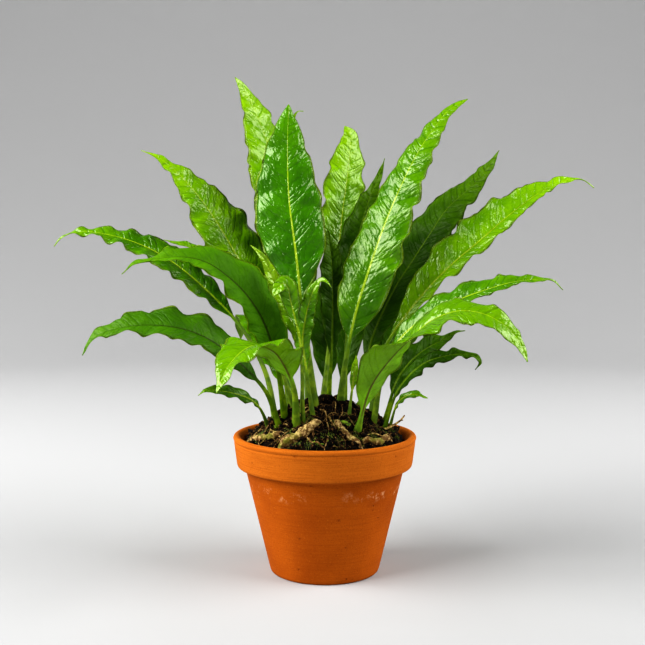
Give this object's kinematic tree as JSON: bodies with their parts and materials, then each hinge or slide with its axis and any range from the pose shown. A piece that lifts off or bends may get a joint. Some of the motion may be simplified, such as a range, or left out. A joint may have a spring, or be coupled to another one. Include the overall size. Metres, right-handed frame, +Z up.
{
  "type": "potted java fern",
  "caption": "Java fern with long waved glossy green fronds and knotty rhizomes, growing in soil in a plain terracotta clay pot.",
  "frame": {"origin": "on the pot's axis, on the surface that the pot stands on", "axes": "+Z up along the pot's axis, +X to the viewer's right across the fern's widest spread, +Y away from the viewer"},
  "size_m": [0.4264, 0.2522, 0.3849],
  "materials": {
    "clay": "matte fired terracotta with faint salt specks",
    "earth": "dark coarse potting soil with fibres and moss",
    "bark": "rough knotty brown rhizome with root hairs",
    "leaf": "glossy leathery green with a paler midrib and sunken side veins"
  },
  "bodies": {
    "root": {"pot": "clay", "soil": "earth", "rhizome_front": "bark", "rhizome_middle": "bark", "rhizome_right": "bark", "rhizome_left": "bark", "rhizome_rear": "bark", "frond_tall_front": "leaf", "frond_tall_left": "leaf", "frond_upper_left": "leaf", "frond_far_left": "leaf", "frond_mid_left": "leaf", "frond_left_behind": "leaf", "frond_low_left": "leaf", "frond_front_left": "leaf", "frond_lowest_left": "leaf", "frond_young_left": "leaf", "frond_curled_middle": "leaf", "frond_young_middle": "leaf", "frond_dark_middle": "leaf", "frond_small_middle": "leaf", "frond_back_middle": "leaf", "frond_back_right": "leaf", "frond_tall_right": "leaf", "frond_upper_right": "leaf", "frond_far_right": "leaf", "frond_mid_right": "leaf", "frond_front_right": "leaf", "frond_shaded_right": "leaf", "frond_low_right": "leaf", "frond_lowest_right": "leaf", "frond_rear_left": "leaf", "frond_rear_middle": "leaf", "frond_rear_right": "leaf", "frond_rear_tall": "leaf", "frond_rear_upright": "leaf"}
  },
  "joints": []
}
